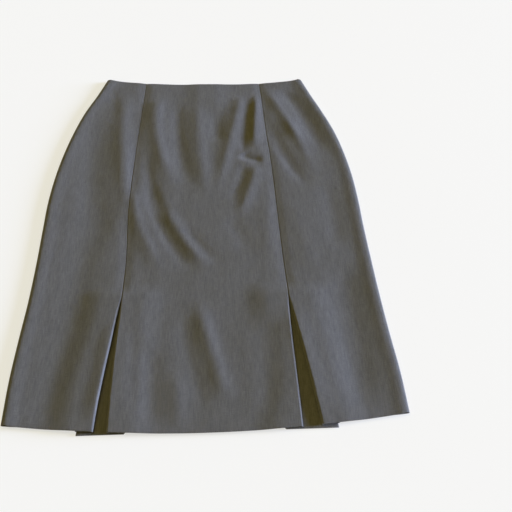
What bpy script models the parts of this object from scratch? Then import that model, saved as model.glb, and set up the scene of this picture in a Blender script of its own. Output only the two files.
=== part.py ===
"""Pleated midi skirt, laid on its back on a table with the waist towards +Y.

Three front panels, two back panels, the underlays of the two inverted pleats and a concealed
centre-back zip. Metres, +Z up. Right and left are the wearer's, so right is at -X. Each panel
is a grid of columns and rows, placed by functions of its seam lines and folds, with a wall.
"""

import math

import bmesh
import bpy
import numpy as np

MM = 0.001

# Cloth
WALL = 1.0 * MM
GAP = 0.3 * MM
SEAM_GAP = 0.7 * MM
PLEAT_GAP = 0.4 * MM
LAYER = WALL + GAP
BACK_MID = WALL / 2
UNDERLAY_MID = BACK_MID + LAYER
RETURN_MID = UNDERLAY_MID + LAYER

# Length and hang, before the waist and hem curve away from it
WAIST_Y = 330.5 * MM
HEM_Y = -330.5 * MM
WAIST_HALF = 180 * MM
HEM_HALF = 272 * MM
FRONT_WAIST_DIP = 12.5 * MM
BACK_WAIST_DIP = 20.5 * MM
WAIST_CURVE = 2.5
WAIST_REACH = 130 * MM
HEM_LIFT = 18 * MM
HEM_REACH = 230 * MM
BACK_HEM_RISE = 5 * MM

# Pleats
PLEAT_TOP_Y = -125.5 * MM
PLEAT_RAMP = 24 * MM
RETURN_DEPTH = 24 * MM
STACK_HALF = 28 * MM
STACK_FADE = 11 * MM
UNDERLAY_TOP_Y = -115.5 * MM
UNDERLAY_DROP = 2.8 * MM
UNDERLAY_MARGIN = 1.0 * MM

# How the front lies over the back
BASE_LIFT = 1.9 * MM
MOST_LIFT = 3.6 * MM
EDGE_LIFT = 3.1 * MM
EDGE_BLEND = 13 * MM
SEAM_DIP = 0.9 * MM
SEAM_DIP_WIDTH = 8 * MM
SEAM_CREASE = 0.4 * MM
SEAM_CREASE_WIDTH = 1.5 * MM
ROLL_RADIUS = (LAYER + EDGE_LIFT) / 2
ROLL_FRONT_END = -14
ROLL_SEAM_GAP = 0.55 * MM
ROLL_BACK_START = ROLL_FRONT_END - math.degrees(ROLL_SEAM_GAP / (ROLL_RADIUS - WALL / 2))

# Zip, in the centre-back seam
SLIDER_Y = 300.5 * MM
SLIDER_SIZE = (6.4 * MM, 10 * MM, 2.0 * MM)
SLIDER_NECK_WIDTH = 3.4 * MM
SLIDER_PLATE = 1.0 * MM
BRIDGE_RADIUS = 0.3 * MM
BRIDGE_HALF = 2.2 * MM
BRIDGE_CORNER = 0.5 * MM
BRIDGE_Z = 0.4 * MM
HINGE_Z = 1.2 * MM
TAB_THICKNESS = 0.6 * MM
TAB_LENGTH = 22 * MM
TAB_HEAD_HALF = 1.8 * MM
TAB_TAIL_HALF = 2.7 * MM
WINDOW_HALF = 0.8 * MM
WINDOW_LENGTH = 2.9 * MM
RECESS_LIFT = 1.8 * MM
RECESS_HALF = 5 * MM
RECESS_FADE = 9 * MM
RECESS_END_Y = 270 * MM
RECESS_RAMP = 13 * MM
SLOT_PART = 0.75 * MM
SLOT_LENGTH = 4 * MM
TAPE_THICKNESS = 0.5 * MM
TAPE_COLUMNS = (1, 2, 3, 4)
ZIP_SEAT = 0.35 * MM
CHAIN_HALF = 1.6 * MM
CHAIN_THICKNESS = 1.2 * MM
ZIP_END_Y = 128 * MM
COVER_HALF = 14 * MM
CHAIN_FADE = 18 * MM
TAB_FADE = 24 * MM
TAB_COVER_Y = 262 * MM
SLIDER_COVER_Y = 286 * MM

# Seam and side lines: (y, right side, right seam, left seam, left side), in millimetres
PANEL_LINES = (
    (331, -184, -112, 97, 176),
    (290, -200, -114.5, 99.5, 191.5),
    (250, -217.5, -117, 101.5, 208),
    (200, -233.5, -120.5, 104, 226),
    (150, -245.5, -123.5, 108, 238),
    (100, -254, -126, 111, 246),
    (50, -259, -127.5, 113, 250),
    (0, -260.5, -127.5, 115, 252),
    (-60, -262, -126, 117.5, 255.5),
    (-125.5, -265, -128, 121, 260),
    (-200, -270.5, -128, 121, 266),
    (-270, -274.5, -128, 121, 272.5),
    (-331, -275.5, -128, 121, 275.5),
)

# Folded pleat edges: (y, right side front, centre front at right, centre front at left, left side front)
PLEAT_LINES = (
    (-125.5, -128, -128, 121, 121),
    (-160, -133.5, -130.5, 121.5, 126.5),
    (-200, -138.5, -132.5, 122.5, 133.5),
    (-250, -145, -134.5, 124.5, 141.5),
    (-300, -150.5, -135.5, 126.5, 149),
    (-331, -153, -135.5, 127.5, 153.5),
)

# Largest folds: (start x, start y, bend x, bend y, end x, end y, half width, height), in millimetres
FOLDS = (
    (-142, 296, -147, 180, -122, 0, 15, 1.5),
    (-174, 240, -192, 90, -152, -60, 22, -1.8),
    (-190, 60, -194, -100, -207, -300, 24, -1.5),
    (-79, 286, -88, 190, -47, 50, 13, 1.6),
    (-51, 281, -48, 180, -30, 70, 11, -1.4),
    (-12, 286, -14, 180, 3, 20, 14, 1.1),
    (22, 266, 16, 215, 20, 172, 10, -1.4),
    (60, 286, 46, 205, 3, 30, 11, 1.3),
    (78, 286, 64, 190, 36, 50, 8, -1.6),
    (91, 300, 86, 230, 78, 153, 8, 1.9),
    (82, 125, 72, 80, 48, 12, 11, 1.5),
    (-100, 106, -77, 10, -17, -95, 12, -1.4),
    (-70, 36, -40, -15, 6, -85, 11, 1.2),
    (-120, 86, -110, 10, -62, -95, 12, 1.0),
    (-17, -135, 3, -205, 26, -300, 13, 1.5),
    (86, -150, 88, -230, 80, -325, 18, -1.3),
    (-84, -200, -82, -260, -80, -330, 15, -1.0),
    (110, 306, 138, 236, 173, 156, 10, 1.4),
    (132, 306, 170, 241, 203, 130, 12, -1.8),
    (108, 236, 130, 150, 173, 70, 12, -1.3),
    (204, -60, 210, -190, 212, -325, 22, -1.9),
    (123, -140, 138, -230, 153, -328, 14, 1.3),
    (-134, -150, -147, -240, -157, -326, 10, 1.2),
)

# Rows of every full-length panel, and columns counted in from a panel's seam edge
ROWS = [y * MM for y in (330.5, 319, 308, 298, 284, 268, 245, 215, 185, 160, 142, 120, 90, 55, 15,
                         -30, -75, -102, -125.5, -150, -185, -230, -280, -330.5)]
SEAM_COLUMNS = [d * MM for d in (0, 2, 5, 10, 18, 28, 39)]
BACK_COLUMNS = [d * MM for d in (0, 2.5, 5, 9, 14)]
CENTRE_SPANS = 13
SIDE_SPANS = 5
BACK_SPANS = 5
TURN_SPANS = 4
RETURN_SPANS = 2
ROLL_SPANS = 4
FOLD_SAMPLES = 31

RIGHT = -1
LEFT = 1


def smooth_step(value):
    """0 below 0, 1 above 1, and a soft ramp between."""
    t = np.clip(value, 0.0, 1.0)
    return t * t * (3 - 2 * t)


def along(table, column, y):
    """A line's x at height y: a smooth curve through one column of a table."""
    rows = np.array(sorted(table))
    ys = rows[:, 0] * MM
    xs = rows[:, column] * MM
    slopes = np.gradient(xs, ys)
    i = np.clip(np.searchsorted(ys, y) - 1, 0, len(ys) - 2)
    span = ys[i + 1] - ys[i]
    t = np.clip((y - ys[i]) / span, 0.0, 1.0)
    start = (2 * t**3 - 3 * t**2 + 1) * xs[i] + (t**3 - 2 * t**2 + t) * span * slopes[i]
    end = (3 * t**2 - 2 * t**3) * xs[i + 1] + (t**3 - t**2) * span * slopes[i + 1]
    return start + end


def side_line(side, y):
    return along(PANEL_LINES, 1 if side == RIGHT else 4, y)


def seam_line(side, y):
    return along(PANEL_LINES, 2 if side == RIGHT else 3, y)


def side_fold(side, y):
    """The side front's pleat edge, or its seam above the pleat."""
    if y > PLEAT_TOP_Y:
        return seam_line(side, y)
    return along(PLEAT_LINES, 1 if side == RIGHT else 4, y)


def centre_fold(side, y):
    """The centre front's pleat edge, or its seam above the pleat."""
    if y > PLEAT_TOP_Y:
        return seam_line(side, y)
    return along(PLEAT_LINES, 2 if side == RIGHT else 3, y)


def curved_y(x, y, waist_dip, hem_rise=0.0):
    """A row's true y: the waist dips in the middle and the hem lifts towards the sides."""
    waist = smooth_step((y - WAIST_Y + WAIST_REACH) / WAIST_REACH)
    dip = waist_dip * max(0.0, 1 - abs(x / WAIST_HALF) ** WAIST_CURVE)
    hem = smooth_step((HEM_Y + HEM_REACH - y) / HEM_REACH)
    lift = HEM_LIFT * (x / HEM_HALF) ** 2 + hem_rise * max(0.0, 1 - (x / HEM_HALF) ** 4)
    return y - waist * dip + hem * lift


def fold_sum(x, y):
    """Height of all the folds at a point: a bell across each fold, fading out at its ends."""
    t = np.linspace(0.0, 1.0, FOLD_SAMPLES)
    fade = np.sin(math.pi * t) ** 0.6
    height = 0.0
    for start_x, start_y, bend_x, bend_y, end_x, end_y, half_width, crest in FOLDS:
        pull_x = 2 * bend_x - (start_x + end_x) / 2
        pull_y = 2 * bend_y - (start_y + end_y) / 2
        line_x = ((1 - t) ** 2 * start_x + 2 * t * (1 - t) * pull_x + t**2 * end_x) * MM
        line_y = ((1 - t) ** 2 * start_y + 2 * t * (1 - t) * pull_y + t**2 * end_y) * MM
        away = (line_x - x) ** 2 + (line_y - y) ** 2
        nearest = int(np.argmin(away))
        height += crest * MM * fade[nearest] * math.exp(-away[nearest] / (half_width * MM) ** 2)
    return height


def recess(x, y):
    """Rise of the back over the zip's pull tab."""
    across = 1 - smooth_step((abs(x) - RECESS_HALF) / RECESS_FADE)
    down = smooth_step((y - RECESS_END_Y + RECESS_RAMP) / RECESS_RAMP)
    return RECESS_LIFT * across * down


def rest_height(x, y, row_y):
    """Lowest the middle of the front's wall may lie over what is under it."""
    height = BACK_MID + LAYER
    if row_y < PLEAT_TOP_Y + PLEAT_RAMP:
        down = smooth_step((PLEAT_TOP_Y + PLEAT_RAMP - row_y) / PLEAT_RAMP)
        for side in (RIGHT, LEFT):
            outer = side_fold(side, row_y)
            inner = centre_fold(side, row_y)
            reach = max(min(outer, inner) - x, x - max(outer, inner))
            height += 2 * LAYER * down * (1 - smooth_step((reach - STACK_HALF) / STACK_FADE))
    return height


def zip_cover(x, y):
    """Lowest the middle of the front's wall may lie over the zip."""
    beside_chain = 1 - smooth_step((abs(x) - COVER_HALF) / CHAIN_FADE)
    beside_tab = 1 - smooth_step((abs(x) - COVER_HALF) / TAB_FADE)
    chain = beside_chain * smooth_step((y - ZIP_END_Y + CHAIN_FADE) / CHAIN_FADE)
    tab = beside_tab * smooth_step((y - TAB_COVER_Y + TAB_FADE) / TAB_FADE)
    slider = beside_tab * smooth_step((y - SLIDER_COVER_Y + TAB_FADE) / TAB_FADE)
    height = BACK_MID + LAYER + (CHAIN_THICKNESS + GAP) * chain
    return height + RECESS_LIFT * tab + (SLIDER_SIZE[2] - CHAIN_THICKNESS) * slider


def front_height(x, y, row_y):
    """Height of the middle of the front's wall."""
    rest = rest_height(x, y, row_y)
    lift = BASE_LIFT + fold_sum(x, y)
    for side in (RIGHT, LEFT):
        to_seam = abs(x - seam_line(side, max(row_y, PLEAT_TOP_Y)))
        above_pleat = smooth_step((row_y - PLEAT_TOP_Y) / PLEAT_RAMP)
        lift -= above_pleat * SEAM_DIP * math.exp(-(to_seam / SEAM_DIP_WIDTH) ** 2)
        lift -= above_pleat * SEAM_CREASE * math.exp(-to_seam / SEAM_CREASE_WIDTH)
    lift = MOST_LIFT * smooth_step(0.5 + (lift / MOST_LIFT - 0.5) * 0.75)
    to_side = min(side_line(LEFT, row_y) - x, x - side_line(RIGHT, row_y)) - ROLL_RADIUS
    side_blend = math.exp(-(max(to_side, 0.0) / EDGE_BLEND) ** 2)
    lift += (EDGE_LIFT - lift) * side_blend
    return max(rest + lift, zip_cover(x, y))


def back_height(x, y):
    return BACK_MID + recess(x, y)


def front_point(x, row_y):
    y = curved_y(x, row_y, FRONT_WAIST_DIP)
    return (x, y, front_height(x, y, row_y))


def back_point(x, row_y):
    y = curved_y(x, row_y, BACK_WAIST_DIP, BACK_HEM_RISE)
    return (x, y, back_height(x, y))


def turn_radius(fold, inward, row_y):
    """Radius of the soft turn from the face of a pleat to its return."""
    top = front_point(fold + inward * 2 * GAP, row_y)[2]
    return (top - RETURN_MID) / 2


def pleat_row(fold, inward, row_y):
    """Return and turn of one pleat edge, from the return's inner edge to the panel's face."""
    radius = turn_radius(fold, inward, row_y)
    centre = fold + inward * radius
    y = curved_y(fold, row_y, FRONT_WAIST_DIP)
    points = []
    for step in range(RETURN_SPANS):
        inset = RETURN_DEPTH + (radius - RETURN_DEPTH) * step / RETURN_SPANS
        x = fold + inward * inset
        points.append((x, curved_y(x, row_y, FRONT_WAIST_DIP), RETURN_MID))
    for step in range(TURN_SPANS):
        angle = math.pi * step / TURN_SPANS
        x = centre - inward * radius * math.sin(angle)
        points.append((x, y, RETURN_MID + radius * (1 - math.cos(angle))))
    return points


def face_start(fold, inward, row_y):
    """Where a panel's flat face starts, past its seam gap or its pleat's turn."""
    if row_y > PLEAT_TOP_Y:
        return fold
    return fold + inward * turn_radius(fold, inward, row_y)


def side_roll(side, row_y, start_angle, end_angle, spans, waist_dip, hem_rise=0.0):
    """Points round the skirt's side, by angle about the roll's centre."""
    edge = side_line(side, row_y)
    y = curved_y(edge, row_y, waist_dip, hem_rise)
    points = []
    for step in range(spans + 1):
        angle = math.radians(start_angle + (end_angle - start_angle) * step / spans)
        x = edge - side * ROLL_RADIUS * (1 - math.cos(angle))
        points.append((x, y, BACK_MID + ROLL_RADIUS * (1 + math.sin(angle))))
    return points


def edge_inset(row_y):
    """From a seam or pleat line to the middle of the wall beside it."""
    return SEAM_GAP / 2 if row_y > PLEAT_TOP_Y else (WALL + PLEAT_GAP) / 2


def centre_front_row(row_y):
    right = centre_fold(RIGHT, row_y) + edge_inset(row_y)
    left = centre_fold(LEFT, row_y) - edge_inset(row_y)
    start = face_start(right, 1, row_y)
    end = face_start(left, -1, row_y)
    middle = np.linspace(start + SEAM_COLUMNS[-1], end - SEAM_COLUMNS[-1], CENTRE_SPANS + 1)
    xs = [start + d for d in SEAM_COLUMNS[:-1]]
    xs += list(middle)
    xs += [end - d for d in reversed(SEAM_COLUMNS[:-1])]
    face = [front_point(x, row_y) for x in xs]
    return pleat_row(right, 1, row_y) + face + pleat_row(left, -1, row_y)[::-1]


def side_front_row(side, row_y):
    fold = side_fold(side, row_y) + side * edge_inset(row_y)
    start = face_start(fold, side, row_y)
    end = side_line(side, row_y) - side * ROLL_RADIUS
    outer = np.linspace(start + side * SEAM_COLUMNS[-1], end, SIDE_SPANS + 1)
    xs = [start + side * d for d in SEAM_COLUMNS[:-1]]
    xs += list(outer[:-1])
    face = [front_point(x, row_y) for x in xs]
    roll = side_roll(side, row_y, 90, ROLL_FRONT_END, ROLL_SPANS, FRONT_WAIST_DIP)
    return pleat_row(fold, side, row_y) + face + roll


def back_row(side, row_y):
    y = curved_y(0.0, row_y, BACK_WAIST_DIP, BACK_HEM_RISE)
    seam = side * (GAP / 2 + SLOT_PART * math.exp(-((y - SLIDER_Y) / SLOT_LENGTH) ** 2))
    end = side_line(side, row_y) - side * ROLL_RADIUS
    outer = np.linspace(seam + side * BACK_COLUMNS[-1], end, BACK_SPANS + 1)
    xs = [seam + side * d for d in BACK_COLUMNS[:-1]]
    xs += list(outer[:-1])
    flat = [back_point(x, row_y) for x in xs]
    return flat + side_roll(side, row_y, -90, ROLL_BACK_START, ROLL_SPANS - 1, BACK_WAIST_DIP)


def underlay_row(side, row_y):
    """The pleat's backing, from under one return to under the other."""
    outer = side_fold(side, row_y) + side * (RETURN_DEPTH - UNDERLAY_MARGIN)
    inner = centre_fold(side, row_y) - side * (RETURN_DEPTH - UNDERLAY_MARGIN)
    middle = (outer + inner) / 2
    reach = (UNDERLAY_TOP_Y - row_y) / (UNDERLAY_TOP_Y - HEM_Y)
    y = curved_y(middle, row_y, FRONT_WAIST_DIP) - UNDERLAY_DROP * reach
    return [(x, y, UNDERLAY_MID) for x in np.linspace(inner, outer, 6)]


def material(name, colour, roughness, metallic=0.0):
    made = bpy.data.materials.new(name)
    made.use_nodes = True
    surface = made.node_tree.nodes["Principled BSDF"]
    surface.inputs["Base Color"].default_value = (*colour, 1.0)
    surface.inputs["Roughness"].default_value = roughness
    surface.inputs["Metallic"].default_value = metallic
    return made


def cloth(name, grid_rows, wall, look, collection, missing=None):
    """A grid bent to the given rows of points, then given its wall."""
    points = np.array(grid_rows)
    row_spans = points.shape[0] - 1
    column_spans = points.shape[1] - 1
    grid = bmesh.new()
    bmesh.ops.create_grid(grid, x_segments=column_spans, y_segments=row_spans, size=1.0)
    dropped = []
    for face in grid.faces:
        middle = face.calc_center_median()
        row = (middle.y + 1) / 2 * row_spans
        column = (middle.x + 1) / 2 * column_spans
        if missing and missing(row, column):
            dropped.append(face)
    for vertex in grid.verts:
        row = round((vertex.co.y + 1) / 2 * row_spans)
        column = round((vertex.co.x + 1) / 2 * column_spans)
        vertex.co = points[row, column]
    bmesh.ops.delete(grid, geom=dropped, context="FACES")
    mesh = bpy.data.meshes.new(name)
    grid.to_mesh(mesh)
    grid.free()
    mesh.shade_smooth()
    piece = bpy.data.objects.new(name, mesh)
    piece.data.materials.append(look)
    collection.objects.link(piece)
    shell = piece.modifiers.new("wall", "SOLIDIFY")
    shell.thickness = wall
    shell.offset = 0.0
    shell.use_even_offset = True
    return piece


def make_front(look, collection):
    pleat_columns = RETURN_SPANS + TURN_SPANS
    rows_above = ROWS.index(PLEAT_TOP_Y)
    centre_rows = [centre_front_row(y) for y in ROWS]
    last_column = len(centre_rows[0]) - 1

    def open_at_both(row, column):
        return row < rows_above and (column < pleat_columns or column > last_column - pleat_columns)

    def open_at_one(row, column):
        return row < rows_above and column < pleat_columns

    cloth("centre_front", centre_rows, WALL, look, collection, open_at_both)
    for side, name in ((RIGHT, "right"), (LEFT, "left")):
        side_rows = [side_front_row(side, y) for y in ROWS]
        cloth("side_front_" + name, side_rows, WALL, look, collection, open_at_one)


def make_underlays(look, collection):
    rows = [UNDERLAY_TOP_Y] + [y for y in ROWS if y <= PLEAT_TOP_Y]
    for side, name in ((RIGHT, "right"), (LEFT, "left")):
        cloth("pleat_underlay_" + name, [underlay_row(side, y) for y in rows], WALL, look, collection)


def make_back(look, collection):
    for side, name in ((RIGHT, "right"), (LEFT, "left")):
        cloth("back_" + name, [back_row(side, y) for y in ROWS], WALL, look, collection)


def zip_row(side, row_y, columns, lift):
    """Points of one row of the back, moved in through its wall."""
    row = back_row(side, row_y)
    return [(row[column][0], row[column][1], row[column][2] + lift) for column in columns]


def make_zip_strips(tape_look, chain_look, collection):
    """Two tapes on the inside of the back, and the closed chain between them."""
    zip_ys = [y for y in ROWS if y >= ZIP_END_Y]
    tape_lift = WALL / 2 + ZIP_SEAT + TAPE_THICKNESS / 2
    for side, name in ((RIGHT, "right"), (LEFT, "left")):
        rows = [zip_row(side, y, TAPE_COLUMNS, tape_lift) for y in zip_ys]
        cloth("zip_tape_" + name, rows, TAPE_THICKNESS, tape_look, collection)
    chain_lift = WALL / 2 + ZIP_SEAT + CHAIN_THICKNESS / 2
    chain_top = SLIDER_Y - SLIDER_SIZE[1] / 2 - GAP
    ys = [zip_row(LEFT, y, (0,), chain_lift)[0][1] for y in zip_ys]
    rows = []
    for y in [chain_top] + [y for y in ys if y < chain_top]:
        z = back_height(0.0, y) + chain_lift
        rows.append([(-CHAIN_HALF, y, z), (CHAIN_HALF, y, z)])
    cloth("zip_chain", rows, CHAIN_THICKNESS, chain_look, collection)


def block(name, size, centre, collection, look):
    bpy.ops.mesh.primitive_cube_add(size=1.0, location=centre)
    made = bpy.context.object
    made.name = name
    made.scale = size
    bpy.ops.object.transform_apply(location=False, rotation=False, scale=True)
    for owner in list(made.users_collection):
        owner.objects.unlink(made)
    collection.objects.link(made)
    made.data.materials.append(look)
    return made


def mesh_of_curve(guide):
    """A curve object's closed mesh, welded at its caps; the curve is removed."""
    evaluated = guide.evaluated_get(bpy.context.evaluated_depsgraph_get())
    mesh = bpy.data.meshes.new_from_object(evaluated)
    bpy.data.objects.remove(guide)
    welded = bmesh.new()
    welded.from_mesh(mesh)
    bmesh.ops.remove_doubles(welded, verts=welded.verts, dist=0.01 * MM)
    welded.to_mesh(mesh)
    welded.free()
    return mesh


def bridge_mesh(base_z):
    """The slider's bridge: a bent wire that the tab hangs on, as a closed mesh."""
    wire = bpy.data.curves.new("zip_bridge", "CURVE")
    wire.dimensions = "3D"
    wire.bevel_depth = BRIDGE_RADIUS
    wire.bevel_resolution = 1
    wire.use_fill_caps = True
    inner = BRIDGE_HALF - BRIDGE_CORNER
    path = (
        (BRIDGE_HALF, base_z),
        (BRIDGE_HALF, BRIDGE_Z + BRIDGE_CORNER),
        (inner, BRIDGE_Z),
        (-inner, BRIDGE_Z),
        (-BRIDGE_HALF, BRIDGE_Z + BRIDGE_CORNER),
        (-BRIDGE_HALF, base_z),
    )
    spline = wire.splines.new("POLY")
    spline.points.add(len(path) - 1)
    for point, (y, z) in zip(spline.points, path):
        point.co = (0.0, SLIDER_Y + y, z, 1.0)
    guide = bpy.data.objects.new("zip_bridge", wire)
    bpy.context.scene.collection.objects.link(guide)
    return mesh_of_curve(guide)


def make_slider(look, collection, cutters):
    width, length, height = SLIDER_SIZE
    base_z = WALL + RECESS_LIFT + GAP
    neck = block("zip_slider", (SLIDER_NECK_WIDTH, length, height),
                 (0.0, SLIDER_Y, base_z + height / 2), collection, look)
    plate = block("zip_slider_plate", (width, length, SLIDER_PLATE),
                  (0.0, SLIDER_Y, base_z + height - SLIDER_PLATE / 2 + 0.01 * MM), cutters, look)
    bridge = bpy.data.objects.new("zip_slider_bridge", bridge_mesh(base_z + height / 2))
    cutters.objects.link(bridge)
    for part in (plate, bridge):
        part.hide_render = True
        part.display_type = "WIRE"
        join = neck.modifiers.new("join", "BOOLEAN")
        join.operation = "UNION"
        join.object = part


def make_pull_tab(look, collection):
    """A flat drop-shaped tab with a window at its head; it turns about +X at the bridge."""
    outline = bpy.data.curves.new("zip_pull_tab", "CURVE")
    outline.dimensions = "2D"
    outline.fill_mode = "BOTH"
    outline.extrude = TAB_THICKNESS / 2
    head_y = TAB_THICKNESS / 2
    corner = 0.4 * MM
    tail = [(TAB_TAIL_HALF * math.sin(a), -TAB_LENGTH + TAB_TAIL_HALF * (1 - math.cos(a)))
            for a in np.linspace(-math.pi / 2, math.pi / 2, 9)]
    edge = [(TAB_HEAD_HALF, head_y - corner), (TAB_HEAD_HALF - corner, head_y)]
    edge += [(-TAB_HEAD_HALF + corner, head_y), (-TAB_HEAD_HALF, head_y - corner)]
    window = [(WINDOW_HALF, -head_y), (-WINDOW_HALF, -head_y)]
    window += [(-WINDOW_HALF, -head_y - WINDOW_LENGTH), (WINDOW_HALF, -head_y - WINDOW_LENGTH)]
    for ring in (tail + edge, window):
        spline = outline.splines.new("POLY")
        spline.points.add(len(ring) - 1)
        spline.use_cyclic_u = True
        for point, (x, y) in zip(spline.points, ring):
            point.co = (x, y, 0.0, 1.0)
    shape = bpy.data.objects.new("zip_pull_tab_outline", outline)
    bpy.context.scene.collection.objects.link(shape)
    tab = bpy.data.objects.new("zip_pull_tab", mesh_of_curve(shape))
    tab.location = (0.0, SLIDER_Y, HINGE_Z)
    tab.data.materials.clear()
    tab.data.materials.append(look)
    collection.objects.link(tab)


def main():
    for old in list(bpy.data.objects):
        bpy.data.objects.remove(old)
    skirt = bpy.data.collections.new("pleated_midi_skirt")
    cutters = bpy.data.collections.new("cutters")
    bpy.context.scene.collection.children.link(skirt)
    bpy.context.scene.collection.children.link(cutters)
    worsted = material("grey_worsted", (0.12, 0.12, 0.115), 0.85)
    tape = material("grey_zip_tape", (0.09, 0.09, 0.09), 0.8)
    coil = material("grey_zip_coil", (0.10, 0.10, 0.11), 0.45)
    metal = material("painted_metal", (0.16, 0.16, 0.17), 0.4, 0.6)
    make_front(worsted, skirt)
    make_underlays(worsted, skirt)
    make_back(worsted, skirt)
    make_zip_strips(tape, coil, skirt)
    make_slider(metal, skirt, cutters)
    make_pull_tab(metal, skirt)


main()
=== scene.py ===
import math

import bpy
import numpy as np
from bpy.props import FloatProperty, FloatVectorProperty, PointerProperty
from mathutils import Matrix, Vector


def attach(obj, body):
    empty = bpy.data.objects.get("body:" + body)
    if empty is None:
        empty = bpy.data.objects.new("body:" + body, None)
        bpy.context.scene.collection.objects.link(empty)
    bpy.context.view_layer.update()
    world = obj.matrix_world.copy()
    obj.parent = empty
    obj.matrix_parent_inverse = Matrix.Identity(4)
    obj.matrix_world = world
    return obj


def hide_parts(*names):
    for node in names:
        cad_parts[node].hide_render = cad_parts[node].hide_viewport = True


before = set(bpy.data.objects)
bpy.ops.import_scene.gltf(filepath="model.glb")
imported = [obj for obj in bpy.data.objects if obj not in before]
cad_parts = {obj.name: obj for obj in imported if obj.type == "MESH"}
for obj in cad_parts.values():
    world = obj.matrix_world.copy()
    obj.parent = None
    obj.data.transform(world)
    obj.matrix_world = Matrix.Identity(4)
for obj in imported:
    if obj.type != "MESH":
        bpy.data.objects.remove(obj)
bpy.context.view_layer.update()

bl_info = {
    "name": "Pleated Midi Skirt",
    "version": (1, 0, 0),
    "blender": (4, 5, 0),
    "location": "View3D > Sidebar > Skirt",
    "description": "Dresses the skirt's pattern pieces in worsted, with its pleats, folds and zip",
    "category": "Object",
}

MM = 0.001
RIGHT = -1
LEFT = 1
SIDE_NAMES = ((RIGHT, "right"), (LEFT, "left"))

WAIST_Y = 330.5 * MM
HEM_Y = -330.5 * MM
PLEAT_TOP_Y = -125.5 * MM

# Length and hang, before the waist and hem curve away from it
WAIST_HALF = 180 * MM
HEM_HALF = 272 * MM
FRONT_WAIST_DIP = 12.5 * MM
BACK_WAIST_DIP = 20.5 * MM
WAIST_CURVE = 2.5
WAIST_REACH = 130 * MM
HEM_LIFT = 18 * MM
HEM_REACH = 230 * MM
BACK_HEM_RISE = 5 * MM

# Heights of the middle of each layer over the surface
BACK_HEIGHT = 0.225 * MM
UNDERLAY_HEIGHT = 1.9 * MM
RETURN_HEIGHT = 2.6 * MM
FRONT_REST = 1.9 * MM
PLEAT_STACK = 2.5 * MM
STACK_HALF = 28 * MM
STACK_FADE = 40 * MM
PLEAT_RAMP = 24 * MM
UNDERLAY_TOP_Y = -115.5 * MM
UNDERLAY_DROP = 2.8 * MM
UNDERLAY_MARGIN = 1.0 * MM
LIFT_SOFTNESS = 0.8 * MM

# Edges, sides and seams
EDGE_GAP = 0.25 * MM
SEAM_ROLL = 1.1 * MM
SEAM_DIP = 1.0 * MM
SEAM_DIP_WIDTH = 8 * MM
WAIST_ROLL = 1.4 * MM
SIDE_ROLL = 7 * MM
SIDE_BLEND = 11 * MM
SIDE_SEAM_ANGLES = (-14, -16)

# Zip, in the centre-back seam
SLIDER_Y = 300.5 * MM
SLIDER_HALF_LENGTH = 5 * MM
SLOT_PART = 0.75 * MM
SLOT_LENGTH = 4 * MM
RECESS_LIFT = 1.8 * MM
RECESS_HALF = 5 * MM
RECESS_FADE = 9 * MM
RECESS_END_Y = 270 * MM
RECESS_RAMP = 13 * MM
ZIP_END_Y = 128 * MM
TAPE_HEIGHT = 1.6 * MM
TAPE_THICKNESS = 0.5 * MM
TAPE_EDGES = (2.0 * MM, 14 * MM)
COIL_HEIGHT = 1.95 * MM
COIL_PITCH = 1.25 * MM
COIL_WIRE = 0.3 * MM
COIL_HALF_WIDTH = 1.25 * MM
COIL_HALF_THICKNESS = 0.3 * MM
COIL_LIFT = 1.0 * MM
SLIDER_LIFT = 1.6 * MM
COVER_HALF = 12 * MM
COVER_FADE = 60 * MM
TAB_COVER_Y = 262 * MM
SLIDER_COVER_Y = 286 * MM

# Stage
FLOOR_HALF = 6.0
FLOOR_LIT = 0.35

# The lights: where each comes from, how wide it is in degrees, and its colour.
WINDOW_SIDE = 0.08
WINDOW_SPREAD = 16
WINDOW_COLOUR = (0.50, 0.61, 1.0)
LAMP_DIRECTION = (-0.38, 0.33, 0.86)
LAMP_SPREAD = 30
LAMP_COLOUR = (1.0, 0.85, 0.30)
ROOM_COLOUR = (1.0, 0.84, 0.32)
BACKDROP_COLOUR = (0.93, 0.93, 0.92)

# Each piece as cut, before it is folded: width and length in metres, and area in square metres.
CUTS = {
    "centre_front": ((0.312, 0.700), 0.190),
    "side_front": ((0.160, 0.700), 0.100),
    "pleat_underlay": ((0.074, 0.252), 0.0155),
    "back": ((0.282, 0.700), 0.176),
    "zip_tape": ((0.012, 0.173), None),
}
CAMERA_PLACE = Vector((0.0245, -0.5671, 0.850))
CAMERA_LENS = 44.44
CAMERA_YAW = 5.68
CAMERA_PITCH = 58.77
CAMERA_ROLL = 3.77

# Grids
EDGE_COLUMNS = [d * MM for d in (0.6, 1.4, 2.6, 4.2, 6.2)]
EDGE_ROWS = [d * MM for d in (0, 0.07, 0.27, 0.58, 0.97, 1.4, 2.0, 3.4)]
QUARTER_SPANS = 6
RETURN_SPANS = 8
SIDE_SPANS = 12
TURNING_SPANS = 6
UNDERLAY_SPANS = 30
COIL_SIDES = 8
CREASE_SAMPLES = 48
CREASE_FADE = 0.28
WAVE_SEED = 11
WAVE_COUNT = 14
WAVE_LENGTHS = (45 * MM, 140 * MM)
WAVE_HEIGHT = 0.12 * MM

# Seam and side lines: (y, right side, right seam, left seam, left side), in millimetres
PANEL_LINES = (
    (331, -184, -112, 97, 176),
    (290, -200, -114.5, 99.5, 191.5),
    (250, -217.5, -117, 101.5, 208),
    (200, -233.5, -120.5, 104, 226),
    (150, -245.5, -123.5, 108, 238),
    (100, -254, -126, 111, 246),
    (50, -259, -127.5, 113, 250),
    (0, -260.5, -127.5, 115, 252),
    (-60, -262, -126, 117.5, 255.5),
    (-125.5, -265, -128, 121, 260),
    (-200, -270.5, -128, 121, 266),
    (-270, -274.5, -128, 121, 272.5),
    (-331, -275.5, -128, 121, 275.5),
)

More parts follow.
